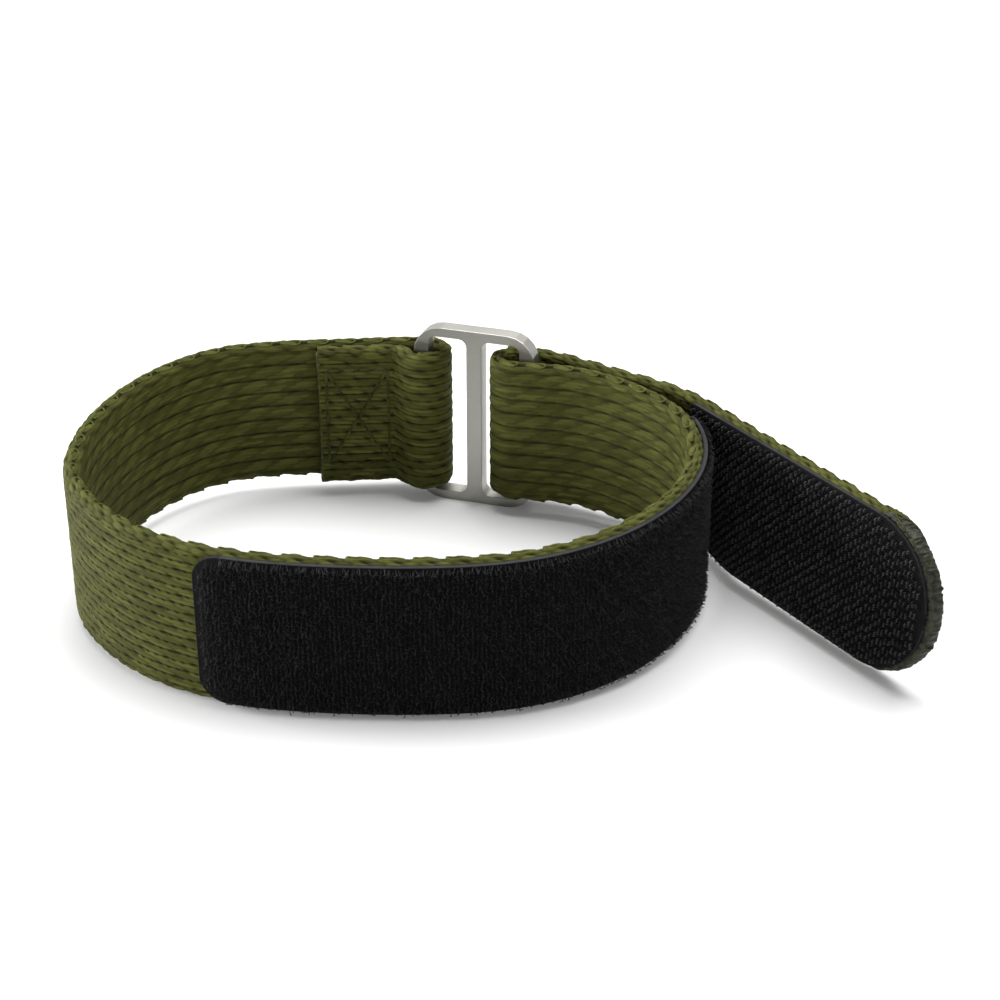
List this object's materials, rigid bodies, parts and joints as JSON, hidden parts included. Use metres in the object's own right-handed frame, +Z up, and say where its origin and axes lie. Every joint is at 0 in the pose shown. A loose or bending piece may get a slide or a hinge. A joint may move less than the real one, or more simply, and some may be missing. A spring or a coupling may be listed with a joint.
{
  "type": "watch strap",
  "caption": "Woven single-pass watch strap with a three-bar slide buckle, a sewn turnback and hook-and-loop pads, standing on its edge with the tail peeled open.",
  "frame": {"origin": "middle of the strap's footprint, at the level of the surface that it stands on", "axes": "+X from the loop towards the tail's side, +Y from the loop pad's front towards the buckle at the back, +Z up along the band's width"},
  "size_m": [0.103, 0.062, 0.0252],
  "materials": {
    "webbing": "woven olive nylon, matt with a faint sheen",
    "loop_pile": "black looped pile",
    "hook_tape": "black nylon hooks on woven tape",
    "steel": "matt, bead blasted",
    "thread": "sewing thread"
  },
  "bodies": {
    "loop": {"band_loop": "webbing", "loop_pad": "loop_pile", "needle_thread": "thread", "bobbin_thread": "thread"},
    "buckle": {"buckle_frame": "steel", "band_bar_wrap": "webbing"},
    "tail_root": {"band_tail_root": "webbing"},
    "tail_end": {"band_tail_end": "webbing", "hook_pad": "hook_tape"}
  },
  "joints": [
    {"name": "buckle_pivot", "type": "hinge", "parent": "loop", "child": "buckle", "pos_m": [-0.00884, 0.02706, 0.0126], "axis": [0, 0, 1], "range_deg": [0, 12]},
    {"name": "tail_swing", "type": "hinge", "parent": "buckle", "child": "tail_root", "pos_m": [0.00845, 0.02428, 0.0123], "axis": [0, 0, 1], "range_deg": [0, 90]},
    {"name": "tail_bend", "type": "hinge", "parent": "tail_root", "child": "tail_end", "pos_m": [0.02511, 0.01415, 0.0115], "axis": [0, 0, 1], "range_deg": [-3, 60]}
  ]
}
